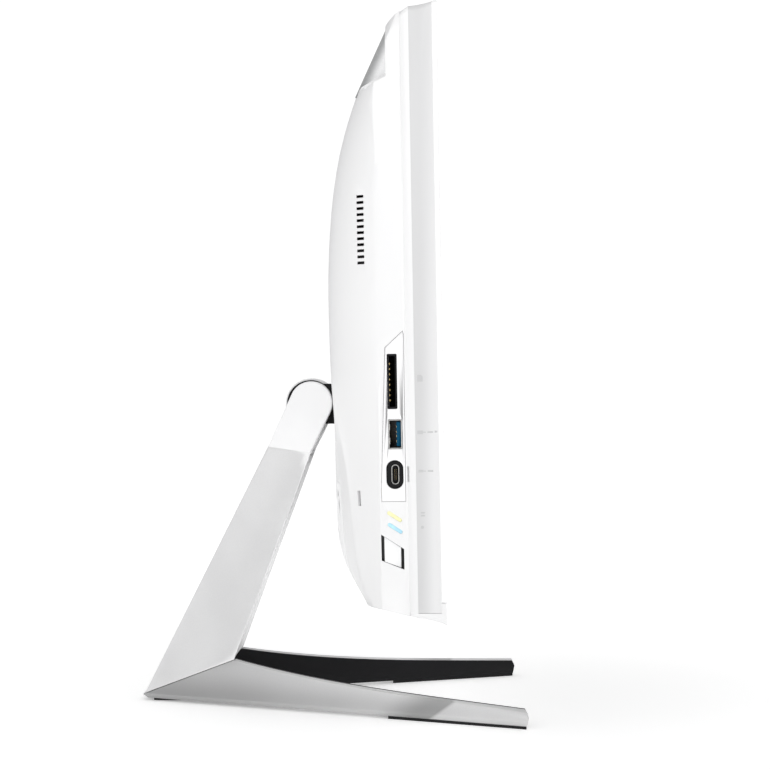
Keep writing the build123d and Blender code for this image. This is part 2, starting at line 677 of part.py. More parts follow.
def friction_ring(x0, x1, radius):
    """A disc spring or washer on the shaft."""
    disc = x_cylinder(HINGE_Y, HINGE_Z, radius, x0, x1)
    return disc - x_cylinder(HINGE_Y, HINGE_Z, SHAFT_R, -40, 40)


def make_hinge():
    # Bracket on the head: a plate on four legs, an arm through the cover and two knuckle rings.
    bracket = head_block(-62, 62, 44, 47, 139, 201)
    for x in (-55, 55):
        for z in (147, 193):
            bracket += head_block(x - 4, x + 4, CHASSIS_BACK, 44.1, z - 4, z + 4)
    arm_end = HINGE_Y - FRONT_Y
    for side in (-1, 1):
        inner, outer = sorted((side * KNUCKLE_IN, side * KNUCKLE_OUT))
        ring = x_cylinder(HINGE_Y, HINGE_Z, KNUCKLE_R, inner, outer)
        ring += head_block(inner, outer, 46.9, arm_end, HINGE_Z - 11.6, HINGE_Z + 11.2)
        bracket += ring
    bracket += head_block(-KNUCKLE_OUT, KNUCKLE_OUT, 46.9, 58.6, HINGE_Z - 11.6, HINGE_Z + 11.2)
    bracket -= x_cylinder(HINGE_Y, HINGE_Z, SHAFT_R + RUN_FIT, -40, 40)
    save_head("hinge_bracket", bracket)

    cover = x_cylinder(HINGE_Y, HINGE_Z, BARREL_R, -KNUCKLE_IN + 0.2, KNUCKLE_IN - 0.2)
    cover -= x_cylinder(HINGE_Y, HINGE_Z, BARREL_R - 1.8, -40, 40)
    cover -= head_block(-40, 40, 0, 66, 100, 240)
    save_head("hinge_barrel_cover", cover)

    shaft = x_cylinder(HINGE_Y, HINGE_Z, SHAFT_R, -22, 22)
    save("hinge_shaft", shaft)
    rings = []
    for index in range(4):
        x = KNUCKLE_IN - 0.4 - 1.4 * index
        rings.append(friction_ring(x - 1.1, x, 8.5))
    rings.append(friction_ring(KNUCKLE_OUT + 0.1, CAP_IN - 0.1, 9.0))
    save("hinge_washers", [part for ring in rings for part in both_sides(ring)])

    # White caps: outer face on the plane through the seam and the middle of the hinge.
    c_point = Vector(-NECK_TOP_X, *SEAM_FRONT)
    d_point = Vector(-NECK_REAR_TOP_X, *SEAM_REAR)
    e_point = Vector(-27.5, HINGE_Y, HINGE_Z)
    normal = (e_point - c_point).cross(d_point - c_point).normalized()
    if normal.X > 0:
        normal = normal * -1
    half_space = extrude(Plane(origin=c_point, z_dir=normal) * Rectangle(400, 400), -60)
    cap = along_x(cap_outline(CAP_R), -45, -CAP_IN) & half_space
    outer_face = cap.faces().filter_by(lambda face: face.normal_at().dot(normal) > 0.99)[0]
    cap = chamfer(outer_face.edges().filter_by(lambda edge: edge.center().Z > 150), 0.7)
    pocket = along_x(cap_outline(CAP_R - 1.4, 3.0), -20.2, -CAP_IN + 1)
    cap -= pocket
    cap -= x_cylinder(HINGE_Y, HINGE_Z, SHAFT_R, -22.2, -10)
    left, right = both_sides(cap)
    save("hinge_cap_left", left)
    save("hinge_cap_right", right)


# ---------------------------------------------------------------- stand
def on_mitre(y):
    slope = (MITRE_Z - LEG_EDGE) / (STAND_REAR - MITRE_Y)
    return LEG_EDGE + (STAND_REAR - y) * slope


def trapezoid(rear_half, rear, front_half, front):
    corners = [(-rear_half, *rear), (rear_half, *rear), (front_half, *front), (-front_half, *front)]
    return make_face(Polyline(*corners, close=True))


def neck_wedge(inset, forward):
    """Wedge-shaped neck: narrow at the rear, wide at the front.

    The inset moves the sides and the rear inward, forward pushes the front face out.
    """
    lift = 0.4
    foot_rear = (STAND_REAR - 2.2 * inset, LEG_EDGE + lift + 0.9 * inset)
    foot_front = (MITRE_Y - forward, on_mitre(MITRE_Y - forward) + lift)
    top_rear = (SEAM_REAR[0] - 1.6 * inset, SEAM_REAR[1] - 0.2 * inset)
    slope = (SEAM_REAR[1] - SEAM_FRONT[1]) / (SEAM_REAR[0] - SEAM_FRONT[0])
    top_front = (SEAM_FRONT[0] - forward, SEAM_FRONT[1] - slope * forward)
    side = 1.25 * inset
    foot = trapezoid(LEG_REAR_X - 0.4 * inset, foot_rear, NECK_FOOT_X - side, foot_front)
    top = trapezoid(NECK_REAR_TOP_X - side, top_rear, NECK_TOP_X - side, top_front)
    return foot, top


def make_neck():
    outer = loft(list(neck_wedge(0, 0)), ruled=True)
    foot, top = neck_wedge(NECK_WALL, 6)
    inner = loft([foot, top], ruled=True)
    shell = outer - inner
    lid_top = along_x(polygon([
        (SEAM_REAR[0] - 1.2, SEAM_REAR[1] - 0.2), (SEAM_FRONT[0] + 1.2, SEAM_FRONT[1] + 0.1),
        (SEAM_FRONT[0] + 2.0, SEAM_FRONT[1] - 2.2), (SEAM_REAR[0] - 0.4, SEAM_REAR[1] - 2.6),
    ]), -40, 40)
    save("neck_shell", shell + (lid_top & outer))

    front_face = [(MITRE_Y - 0.2, MITRE_Z + 1.4), (SEAM_FRONT[0] + 1.0, SEAM_FRONT[1] - 2.6),
                  (SEAM_FRONT[0] + 3.2, SEAM_FRONT[1] - 2.4), (MITRE_Y + 2.2, MITRE_Z + 1.1)]
    gap = loft(list(neck_wedge(NECK_WALL + 0.3, 6)), ruled=True)
    save("neck_front_cover", along_x(polygon(front_face), -60, 60) & gap)

    spine = along_x(polygon([
        (72, 23), (66, 23), (24, 139), (30, 139),
    ]), -14, 14) & inner
    save("neck_core", spine)


def leg_side_view():
    """Outline of a leg seen from the side, as (y, z)."""
    top = Spline((MITRE_Y, MITRE_Z), (24.0, 20.6), (-7.0, 16.6), (-58.0, 12.4), (STAND_TIP + 1.6, 9.4))
    edges = [top]
    edges.append(Line((STAND_TIP + 1.6, 9.4), (STAND_TIP, 6.4)))
    edges.append(Line((STAND_TIP, 6.4), (STAND_TIP + 1.0, LEG_BOTTOM)))
    edges.append(Line((STAND_TIP + 1.0, LEG_BOTTOM), (STAND_REAR - 1.5, LEG_BOTTOM)))
    edges.append(Line((STAND_REAR - 1.5, LEG_BOTTOM), (STAND_REAR + 1.4, LEG_EDGE - 0.6)))
    edges.append(Line((STAND_REAR + 1.4, LEG_EDGE - 0.6), (STAND_REAR, LEG_EDGE)))
    edges.append(Line((STAND_REAR, LEG_EDGE), (MITRE_Y, MITRE_Z)))
    return make_face(edges)


def leg_prism(profile):
    """Sweep a leg section, drawn as (inward, up) from the outer lower edge, along the left leg."""
    rear = Vector(-LEG_REAR_X, STAND_REAR, 0)
    tip = Vector(-LEG_TIP_X, STAND_TIP, 0)
    run = (tip - rear).normalized()
    inward = Vector(-run.Y, run.X, 0)
    plane = Plane(origin=rear - run * 14, x_dir=inward, z_dir=run * -1)
    if plane.y_dir.Z < 0:
        plane = Plane(origin=rear - run * 14, x_dir=inward, z_dir=run)
    face = plane * polygon(profile)
    body = extrude(face, (tip - rear).length + 30, dir=run)
    return body


def make_legs():
    slope = 0.145
    height = 32.0
    split = 10.6
    gap = 0.1
    shell_profile = [(1.6, LEG_BOTTOM), (0, LEG_EDGE), (slope * (height - LEG_EDGE), height),
                     (split - 0.3, height), (split, LEG_BOTTOM)]
    liner_profile = [(split + gap, LEG_BOTTOM), (split + gap - 0.3, height), (LEG_W - 0.6, height),
                     (LEG_W, LEG_BOTTOM + 1.2), (LEG_W - 1, LEG_BOTTOM)]
    side = along_x(leg_side_view(), -150, 150)
    left_half = block(-200, -0.1, -150, 150, 0, 60)
    shell = leg_prism(shell_profile) & side & left_half
    liner = leg_prism(liner_profile) & side & left_half
    left, right = both_sides(shell)
    save("leg_left", left)
    save("leg_right", right)
    left, right = both_sides(liner)
    save("leg_liner_left", left)
    save("leg_liner_right", right)

    pad_profile = [(1.9, 0.0), (1.9, LEG_BOTTOM), (LEG_W - 1.4, LEG_BOTTOM), (LEG_W - 1.4, 0.0)]
    pad = leg_prism(pad_profile) & block(-150, 0, STAND_TIP + 1.2, -33.7, -1, 10)
    rear_pad = block(-9, 9, 86, 102, 0, LEG_BOTTOM)
    save("foot_pads", both_sides(pad) + [rear_pad])


def main():
    os.makedirs("parts", exist_ok=True)
    body = front_body()
    make_front(body)
    make_display()
    make_mid_frame()
    make_rear_cover()
    make_exhaust_grille()
    make_side_panel()
    make_card_reader()
    make_usb_a()
    make_usb_c()
    make_side_lights_and_board()
    make_power_button()
    make_lock_plate()
    make_motherboard()
    make_heatsink()
    make_exhaust_fins()
    make_heat_pipe()
    make_plug_in_boards()
    make_drive()
    make_blower()
    make_fan_rotor()
    make_rear_ports()
    make_display_cable()
    make_speakers()
    make_fasteners()
    make_hinge()
    make_neck()
    make_legs()


main()
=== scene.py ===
import json
import math

import bmesh
import bpy
from mathutils import Matrix, Vector
from mathutils.bvhtree import BVHTree


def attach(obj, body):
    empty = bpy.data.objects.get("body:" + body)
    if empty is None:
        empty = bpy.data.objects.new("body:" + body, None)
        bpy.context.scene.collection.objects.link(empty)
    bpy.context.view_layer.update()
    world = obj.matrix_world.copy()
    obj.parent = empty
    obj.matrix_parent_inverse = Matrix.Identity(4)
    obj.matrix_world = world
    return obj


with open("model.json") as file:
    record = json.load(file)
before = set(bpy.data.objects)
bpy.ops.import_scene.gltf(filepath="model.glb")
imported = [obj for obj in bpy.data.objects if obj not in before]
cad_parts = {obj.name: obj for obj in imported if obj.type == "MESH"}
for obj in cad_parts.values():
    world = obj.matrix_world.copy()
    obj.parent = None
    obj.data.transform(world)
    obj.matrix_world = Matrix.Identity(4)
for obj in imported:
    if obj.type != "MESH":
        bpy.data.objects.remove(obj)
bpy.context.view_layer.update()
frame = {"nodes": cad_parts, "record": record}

NODES = frame["nodes"]
MM = 0.001

# The head leans back about the hinge; pieces drawn on it use its upright frame.
HINGE = Vector((0.0, 11.8, 170.1)) * MM
REST_TILT = math.radians(1.0)
FRONT_Y = -63.1 * MM
LEAN = Matrix.Translation(HINGE) @ Matrix.Rotation(-REST_TILT, 4, "X") @ Matrix.Translation(-HINGE)


def lean(depth, z):
    """Y and Z of a point of the upright head after it leans back."""
    point = LEAN @ Vector((0.0, FRONT_Y + depth * MM, z * MM))
    return point.y, point.z


def on_head(x, depth, z):
    """A point of the upright head, millimetres, depth measured back from the front plane."""
    return LEAN @ Vector((x * MM, FRONT_Y + depth * MM, z * MM))


# The power button is white on the outer side of this and painted near-black behind it, as painted shade in
# the gap.
BUTTON_FLANGE_X = -237.4 * MM

# Upper and lower edge and outward normal of the sloping grille face, as (y, z); the grille's painted shade
# is measured from this face.
GRILLE_TOP = lean(25.0, 353.6)
GRILLE_LOW = lean(40.3, 321.2)
GRILLE_RUN = Vector((GRILLE_LOW[0] - GRILLE_TOP[0], GRILLE_LOW[1] - GRILLE_TOP[1])).normalized()
GRILLE_NORMAL = (-GRILLE_RUN.y, GRILLE_RUN.x)

# Middle heights of the openings on the left side, millimetres on the upright head.
CARD_Z = 182.2
USB_A_Z = 157.0
USB_C_Z = 137.7

# Insides of those openings: x of the metal's outer edge.
USB_A_MOUTH = -237.7 * MM
USB_C_MOUTH = -237.3 * MM

# The picture area of the cover glass and the camera window above it.
PICTURE_HALF = (216.5 * MM, 122.0 * MM)
PICTURE_Z = 219.0 * MM
LENS_Z = 354.0
LENS_R = 2.2 * MM
# Depth over which the side band's painted shade runs back from its front edge.
BAND_SHADE_DEPTH = 12.0 * MM

# Painted shade on the legs: tones of a leg at its rear and front end, the Y between which they drift,
# and the heights over which the tone lifts from the darker lower bevel.
LEG_SHADE_TONES = (0.55, 0.94)
LEG_SHADE_ALONG = (-0.09, 0.09)
LEG_SHADE_LIFT = (0.003, 0.022)

# A painted dark reflection slants across each leg as a streak, sharp at its front edge and soft at its rear
# edge.
REFLECTION_STREAK_SLOPE = 1.3
REFLECTION_STREAK_FRONT = (-0.056, -0.049)
REFLECTION_STREAK_REAR = (-0.045, -0.018)
REFLECTION_STREAK_TONE = 0.55

KEY_WATTS = 3.7
FILL_WATTS = 6.2
WORLD_LEVEL = 0.86
BACKDROP_LEVEL = 1.05
REFLECTION_LEVEL = 0.9
FLOOR_RADIUS = 6.0


# ---------------------------------------------------------------- node material helpers
class Nodes:
    """A material and short calls that add and link shader nodes."""

    def __init__(self, name):
        self.material = bpy.data.materials.new(name)
        self.material.use_nodes = True
        self.tree = self.material.node_tree
        self.tree.nodes.clear()
        self.out = self.tree.nodes.new("ShaderNodeOutputMaterial")
        self.bsdf = self.tree.nodes.new("ShaderNodeBsdfPrincipled")
        self.link(self.bsdf.outputs[0], self.out.inputs[0])
        self.coords = self.tree.nodes.new("ShaderNodeTexCoord").outputs["Object"]

    def link(self, source, target):
        self.tree.links.new(source, target)

    def add(self, kind, **inputs):
        node = self.tree.nodes.new(kind)
        for key, value in inputs.items():
            socket = node.inputs[key.replace("_", " ")]
            if hasattr(value, "links"):
                self.link(value, socket)
            else:
                socket.default_value = value
        return node

    def math(self, operation, a, b=0.0):
        node = self.tree.nodes.new("ShaderNodeMath")
        node.operation = operation
        for slot, value in enumerate((a, b)):
            if hasattr(value, "links"):
                self.link(value, node.inputs[slot])
            else:
                node.inputs[slot].default_value = value
        return node.outputs[0]

    def stretch(self, scale):
        node = self.tree.nodes.new("ShaderNodeMapping")
        self.link(self.coords, node.inputs["Vector"])
        node.inputs["Scale"].default_value = scale
        return node.outputs[0]

    def noise(self, scale, detail=3.0, vector=None):
        node = self.add("ShaderNodeTexNoise", Scale=scale, Detail=detail, Roughness=0.55)
        self.link(vector if vector is not None else self.coords, node.inputs["Vector"])
        return node.outputs["Fac"]

    def span(self, value, low, high, new_low, new_high):
        node = self.tree.nodes.new("ShaderNodeMapRange")
        node.interpolation_type = "SMOOTHSTEP"
        self.link(value, node.inputs["Value"])
        limits = {"From Min": low, "From Max": high, "To Min": new_low, "To Max": new_high}
        for key, number in limits.items():
            node.inputs[key].default_value = number
        return node.outputs["Result"]

    def mix(self, factor, a, b):
        node = self.tree.nodes.new("ShaderNodeMix")
        node.data_type = "RGBA"
        for slot, value in ((0, factor), (6, a), (7, b)):
            if hasattr(value, "links"):
                self.link(value, node.inputs[slot])
            elif slot:
                node.inputs[slot].default_value = (*value[:3], 1.0)
            else:
                node.inputs[slot].default_value = value
        return node.outputs[2]

    def scale(self, colour, factor):
        """Multiply a colour by a number."""
        node = self.tree.nodes.new("ShaderNodeVectorMath")
        node.operation = "SCALE"
        if hasattr(colour, "links"):
            self.link(colour, node.inputs[0])
        else:
            node.inputs[0].default_value = colour[:3]
        self.link(factor, node.inputs["Scale"])
        return node.outputs[0]

    def bump(self, height, strength, distance):
        node = self.add("ShaderNodeBump", Strength=strength, Distance=distance, Height=height)
        self.link(node.outputs[0], self.bsdf.inputs["Normal"])

    def set(self, **values):
        for key, value in values.items():
            socket = self.bsdf.inputs[key.replace("_", " ")]
            if hasattr(value, "links"):
                self.link(value, socket)
            elif isinstance(value, tuple):
                socket.default_value = (*value[:3], 1.0)
            else:
                socket.default_value = value

    def axis(self, name):
        node = self.tree.nodes.new("ShaderNodeSeparateXYZ")
        self.link(self.coords, node.inputs[0])
        return node.outputs[name]

    def edge_highlight(self):
        """Mask of a painted highlight: 0 on flat faces, 1 on convex edges."""
        geometry = self.tree.nodes.new("ShaderNodeNewGeometry")
        return self.span(geometry.outputs["Pointiness"], 0.52, 0.62, 0.0, 1.0)


def shade(colour, factor):
    return tuple(min(1.0, channel * factor) for channel in colour)


def moulded(name, colour, roughness=0.35, grain=0.02, grain_scale=1400.0, coat=0.0, edge=1.04):
    """Injection-moulded plastic: faint tone drift, fine spark texture, convex edges lightened as a painted
    highlight.
    """
    n = Nodes(name)
    drift = n.span(n.noise(9.0, 2.0), 0.3, 0.7, 0.0, 1.0)
    base = n.mix(drift, shade(colour, 0.985), shade(colour, 1.01))
    # Convex edges lightened by the edge factor: a painted highlight.
    base = n.mix(n.edge_highlight(), base, shade(colour, edge))
    grainy = n.noise(grain_scale, 2.0)
    smudge = n.span(n.noise(22.0, 5.0), 0.35, 0.75, -0.04, 0.05)
    dark = colour[0] < 0.05
    n.set(Base_Color=base, Roughness=n.math("ADD", roughness, smudge), Coat_Weight=coat,
          Coat_Roughness=0.12, Specular_IOR_Level=0.1 if dark else 0.5)
    n.bump(grainy, grain, 0.0004)
    return n.material


def brushed(name, colour, roughness, direction):
    """Metal with fine brush lines and a cloudy satin finish."""
    n = Nodes(name)
    lines = n.noise(180.0, 3.0, n.stretch(direction))
    cloud = n.noise(14.0, 3.0)
    base = n.mix(lines, shade(colour, 0.94), shade(colour, 1.05))
    # Convex edges lightened: a painted highlight.
    base = n.mix(n.edge_highlight(), base, shade(colour, 1.15))
    rough = n.math("ADD", n.span(lines, 0.2, 0.8, roughness - 0.05, roughness + 0.06),
                   n.span(cloud, 0.3, 0.7, -0.03, 0.03))
    n.set(Base_Color=base, Metallic=1.0, Roughness=rough)
    n.bump(lines, 0.05, 0.0002)
    return n.material


def build_materials():
    made = {}
    # The edge factors lighten convex edges as a painted highlight.
    made["white_gloss"] = moulded("white_gloss", (0.80, 0.80, 0.803), 0.34, 0.008, 1200, coat=0.15)
    made["white_satin"] = moulded("white_satin", (0.93, 0.93, 0.935), 0.42, 0.012, 1200)
    made["black_plastic"] = moulded("black_plastic", (0.012, 0.012, 0.013), 0.45, 0.05, 1200, edge=1.6)
    made["grey_grille"] = grille_material()
    made["blue_plastic"] = moulded("blue_plastic", (0.001, 0.06, 0.12), 0.5, 0.03, 1500, edge=1.2)
    made["green_board"] = circuit_board()
    made["cable_black"] = moulded("cable_black", (0.03, 0.03, 0.032), 0.5, 0.05, 900, edge=1.5)
    made["rubber_pad"] = moulded("rubber_pad", (0.022, 0.022, 0.023), 0.75, 0.2, 900, edge=1.4)
    made["black_metal"] = moulded("black_metal", (0.012, 0.012, 0.013), 0.38, 0.12, 1100, edge=2.5)
    made["steel_sheet"] = brushed("steel_sheet", (0.55, 0.56, 0.57), 0.34, (60.0, 1.0, 1.0))
    made["nickel"] = brushed("nickel", (0.66, 0.65, 0.63), 0.22, (20.0, 1.0, 1.0))
    made["aluminium"] = brushed("aluminium", (0.74, 0.75, 0.76), 0.32, (30.0, 1.0, 1.0))
    made["copper"] = brushed("copper", (0.72, 0.38, 0.24), 0.25, (4.0, 1.0, 30.0))
    made["brass"] = brushed("brass", (0.72, 0.55, 0.25), 0.25, (4.0, 1.0, 30.0))
    made["steel_shaft"] = brushed("steel_shaft", (0.5, 0.5, 0.51), 0.2, (40.0, 1.0, 1.0))
    made["silver_metal"] = silver_metal()
    made["white_band"] = band_material()
    made["glass_front"] = cover_glass_material()
    made["mark_print"] = moulded("mark_print", (0.50, 0.50, 0.505), 0.5, 0.01, 900)
    made["lcd_black"] = moulded("lcd_black", (0.012, 0.012, 0.015), 0.12, 0.0, 900, edge=1.2)
    made["amber_pipe"] = light_pipe("amber_pipe", (0.84, 0.82, 0.46))
    made["blue_pipe"] = light_pipe("blue_pipe", (0.44, 0.73, 0.86))
    return made


def circuit_board():
    """Green lacquer with faint lighter tracks."""
    n = Nodes("green_board")
    tracks = n.noise(420.0, 2.0, n.stretch((1.0, 1.0, 6.0)))
    base = n.mix(n.span(tracks, 0.48, 0.56, 0.0, 1.0), (0.006, 0.05, 0.025), (0.015, 0.12, 0.05))
    n.set(Base_Color=base, Roughness=0.35)
    n.bump(tracks, 0.1, 0.0002)
    return n.material


def silver_metal(name="silver_metal", tones=(0.86, 0.86), along=None, lift=None):
    """Satin silver paint over a die casting: fine flake under a soft clear coat.

    Painted shade may darken the tone along Y between two places and towards the bottom between two heights;
    with the heights, a painted dark reflection also slants across it as a streak.
    """
    n = Nodes(name)
    flake = n.noise(1800.0, 1.0)
    cloud = n.noise(9.0, 3.0)
    low, high = tones
    # Painted shade: the tone darkens towards one end along Y.
    tone = n.mix(n.span(n.axis("Y"), *along, 0.0, 1.0), (high,) * 3, (low,) * 3) if along else (low,) * 3
    if lift:
        # Painted shade: darker towards the bottom of the leg.
        up = n.span(n.axis("Z"), *lift, 0.72, 1.06)
        tone = n.scale(tone, up)
        # Painted dark reflection: a streak slanting across the leg.
        slant = n.math("ADD", n.axis("Y"), n.math("MULTIPLY", n.axis("Z"), REFLECTION_STREAK_SLOPE))
        rear_edge = n.span(slant, *REFLECTION_STREAK_REAR, REFLECTION_STREAK_TONE, 1.0)
        front_edge = n.span(slant, *REFLECTION_STREAK_FRONT, 1.0, 0.0)
        tone = n.scale(tone, n.math("MAXIMUM", rear_edge, front_edge))
    base = n.scale(tone, n.span(flake, 0.3, 0.7, 0.985, 1.015))
    base = n.scale(base, n.span(cloud, 0.3, 0.7, 0.975, 1.025))
    rough = n.span(n.noise(30.0, 5.0), 0.35, 0.7, 0.33, 0.42)
    n.set(Base_Color=base, Metallic=0.55, Roughness=rough, Coat_Weight=0.15, Coat_Roughness=0.25)
    n.bump(flake, 0.012, 0.0002)
    return n.material


def band_material():
    """The slanting side band: satin grey-white with painted shade, darker towards the rear and lighter
    towards the front edge.
    """
    n = Nodes("white_band")
    depth = n.axis("Y")
    # Painted shade: light at the front edge, darker towards the rear.
    painted_front_light = n.span(depth, FRONT_Y, FRONT_Y + BAND_SHADE_DEPTH, 1.0, 0.0)
    base = n.mix(painted_front_light, (0.58, 0.58, 0.585), (0.78, 0.78, 0.785))
    drift = n.noise(8.0, 2.0)
    base = n.mix(n.span(drift, 0.3, 0.7, 0.0, 0.1), base, (0.9, 0.9, 0.9))
    n.set(Base_Color=base, Roughness=0.36)
    n.bump(n.noise(1500.0, 2.0), 0.02, 0.0004)
    return n.material


def cover_glass_material():
    """Clear glass with a white printed border: the print is a mask around the picture."""
    n = Nodes("glass_front")
    half_w, half_h = PICTURE_HALF
    across = n.math("ABSOLUTE", n.axis("X"))
    up = n.math("ABSOLUTE", n.math("SUBTRACT", n.axis("Z"), PICTURE_Z))
    in_x = n.math("LESS_THAN", across, half_w)
    in_z = n.math("LESS_THAN", up, half_h)
    lens_z = lean(0.0, LENS_Z)[1]
    offset_z = n.math("SUBTRACT", n.axis("Z"), lens_z)
    reach = n.math("SQRT", n.math("ADD", n.math("POWER", across, 2.0), n.math("POWER", offset_z, 2.0)))
    lens = n.math("LESS_THAN", reach, LENS_R)
    window = n.math("MAXIMUM", n.math("MULTIPLY", in_x, in_z), lens)
    dust = n.noise(60.0, 6.0)
    dark = n.mix(n.span(dust, 0.5, 0.9, 0.0, 0.02), (0.008, 0.009, 0.011), (0.3, 0.3, 0.3))
    base = n.mix(window, (0.90, 0.90, 0.905), dark)
    smudge = n.span(n.noise(18.0, 5.0), 0.35, 0.75, 0.04, 0.1)
    n.set(Base_Color=base, Roughness=smudge, Coat_Weight=0.6, Coat_Roughness=0.03)
    return n.material


def light_pipe(name, colour):
    """Frosted light pipe that glows faintly in its own colour."""
    n = Nodes(name)
    cloud = n.span(n.noise(500.0, 3.0), 0.3, 0.7, 0.0, 1.0)
    base = n.mix(cloud, shade(colour, 0.93), shade(colour, 1.05))
    n.set(Base_Color=base, Roughness=0.3, Emission_Color=base, Emission_Strength=0.15)
    n.bump(cloud, 0.05, 0.0003)
    return n.material


def socket_metal(name, mouth):
    """Nickel at the mouth of a side connector, with painted shade turning it black and non-metallic further
    in; mouth is its x in metres.
    """
    n = Nodes(name)
    # Painted shade: 0 at the mouth, 1 (black) 1.2 mm further in.
    inside = n.span(n.axis("X"), mouth, mouth + 1.2 * MM, 0.0, 1.0)
    lines = n.noise(180.0, 3.0, n.stretch((20.0, 1.0, 1.0)))
    metal = n.mix(lines, (0.5, 0.5, 0.49), (0.68, 0.67, 0.65))
    n.set(Base_Color=n.mix(inside, metal, (0.006, 0.006, 0.007)),
          Metallic=n.math("SUBTRACT", 1.0, inside), Roughness=n.span(lines, 0.2, 0.8, 0.24, 0.36))
    n.bump(lines, 0.05, 0.0002)
    return n.material


def button_material():
    """White button face; the flange behind the cover is painted near-black as painted shade in the gap."""
    n = Nodes("power_button_white")
    # Painted shade: the flange behind the cover is near-black.
    behind = n.math("GREATER_THAN", n.axis("X"), BUTTON_FLANGE_X)
    n.set(Base_Color=n.mix(behind, (0.86, 0.86, 0.865), (0.03, 0.03, 0.031)), Roughness=0.4)
    n.bump(n.noise(1200.0, 2.0), 0.012, 0.0004)
    return n.material


def grille_material():
    """Grey moulded grille with painted shade: dark along the sloping face, lighter towards the rim."""
    n = Nodes("grey_grille")
    depth = n.math("SUBTRACT", n.axis("Y"), GRILLE_TOP[0])
    height = n.math("SUBTRACT", n.axis("Z"), GRILLE_TOP[1])
    inward = n.math("ADD", n.math("MULTIPLY", depth, -GRILLE_NORMAL[0]),
                    n.math("MULTIPLY", height, -GRILLE_NORMAL[1]))
    # Painted shade: dark at the sloping face, turning light from 0.6 to 6 mm inward.
    painted_shade_fade = n.span(inward, 0.6 * MM, 6.0 * MM, 0.0, 1.0)
    base = n.mix(painted_shade_fade, (0.325, 0.328, 0.331), (0.95, 0.952, 0.955))
    grain = n.noise(1500.0, 2.0)
    n.set(Base_Color=n.scale(base, n.span(grain, 0.3, 0.7, 0.97, 1.03)), Roughness=0.42)
    n.bump(grain, 0.03, 0.0003)
    return n.material


# ---------------------------------------------------------------- mesh helpers
def new_object(name, mesh, body, material):
    obj = bpy.data.objects.new(name, mesh)
    bpy.context.scene.collection.objects.link(obj)
    obj.data.materials.append(material)
    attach(obj, body)
    return obj


def finish_cad_node(node, angle=32.0):
    """Weld the imported faces, round the hard edges a little and shade smoothly between them."""
    obj = NODES[node]
    mesh = obj.data
    mesh.shade_smooth()
    weld = obj.modifiers.new("weld", "WELD")
    weld.merge_threshold = 0.002 * MM
    bevel = obj.modifiers.new("bevel", "BEVEL")
    bevel.width = BEVELS.get(node, 0.25) * MM
    bevel.segments = 2
    bevel.limit_method = "ANGLE"
    bevel.angle_limit = math.radians(angle)
    bevel.harden_normals = True


BEVELS = {"rear_cover": 0.2, "neck_shell": 0.35, "leg_left": 0.4, "leg_right": 0.4, "cover_glass": 0.1,
          "screws": 0.1, "usb_a_tongue": 0.1, "usb_c_shell": 0.08, "usb_c_tongue": 0.05,
          "led_pipe_amber": 0.1, "led_pipe_blue": 0.1, "side_io_panel": 0.1,
          "exhaust_grille": 0.15, "card_reader": 0.1, "power_button": 0.15}


# ---------------------------------------------------------------- small pieces on the head
def closed_prism(bm, low_ring, high_ring):
    """Add a closed prism between two matching rings of points."""
    rings = [[bm.verts.new(point) for point in ring] for ring in (low_ring, high_ring)]
    count = len(low_ring)
    bm.faces.new(rings[0])
    bm.faces.new(rings[1][::-1])
    for index in range(count):
        after = (index + 1) % count
        bm.faces.new((rings[0][after], rings[0][index], rings[1][index], rings[1][after]))


def head_piece(name, prisms, material, soften=0.0):
    """One object made of closed prisms on the head, with slightly rounded edges."""
    bm = bmesh.new()
    for low_ring, high_ring in prisms:
        closed_prism(bm, low_ring, high_ring)
    bmesh.ops.recalc_face_normals(bm, faces=bm.faces)
    mesh = bpy.data.meshes.new(name)
    bm.to_mesh(mesh)
    bm.free()
    piece = new_object(name, mesh, "head", material)
    if soften:
        bevel = piece.modifiers.new("soften", "BEVEL")
        bevel.width = soften * MM
        bevel.segments = 2
    return piece


def strip(profile, z0, z1):
    """A strip between two heights; its profile is drawn in (x, depth)."""
    return ([on_head(x, depth, z0) for x, depth in profile], [on_head(x, depth, z1) for x, depth in profile])


def build_connector_contacts(materials):
    """Sprung contacts that show inside the openings on the left side."""
    tongue_back = 22.6
    width = 1.0
    blade = [(-236.3, tongue_back), (-236.3, tongue_back + 0.14), (-228, tongue_back + 0.14),
             (-228, tongue_back)]
    blades = [strip(blade, z - width / 2, z + width / 2)
              for z in (USB_A_Z - 3.5, USB_A_Z - 1.0, USB_A_Z + 1.0, USB_A_Z + 3.5)]
    head_piece("usb_a_contacts", blades, materials["brass"], 0.03)

    wall = 26.0
    finger = [(-237.0, wall), (-236.9, wall - 0.25), (-234.6, wall - 0.75), (-232.2, wall - 0.2),
              (-232.0, wall), (-234.6, wall - 0.45)]
    fingers = [strip(finger, z, z + 3.0)
               for z in (USB_A_Z - 4.8, USB_A_Z + 1.8)]
    head_piece("usb_a_springs", fingers, materials["nickel"], 0.04)

    pins = []
    first = CARD_Z - 9.5
    pitch = 2.5
    for index in range(8):
        z = first + index * pitch
        pins.append(strip([(-236.4, 25.7), (-236.2, 25.3), (-233.4, 24.7), (-230.0, 25.4), (-229.8, 25.7),
                           (-233.4, 25.0)], z, z + 0.9))
    head_piece("card_contacts", pins, materials["brass"], 0.04)

    pads = []
    for side_depth, thick in ((23.15, -0.06), (23.85, 0.06)):
        for index in range(6):
            z = USB_C_Z - 2.4 + index * 0.9
            pads.append(strip([(-236.4, side_depth), (-236.4, side_depth + thick),
                               (-230.2, side_depth + thick), (-230.2, side_depth)], z, z + 0.45))
    head_piece("usb_c_contacts", pads, materials["brass"])


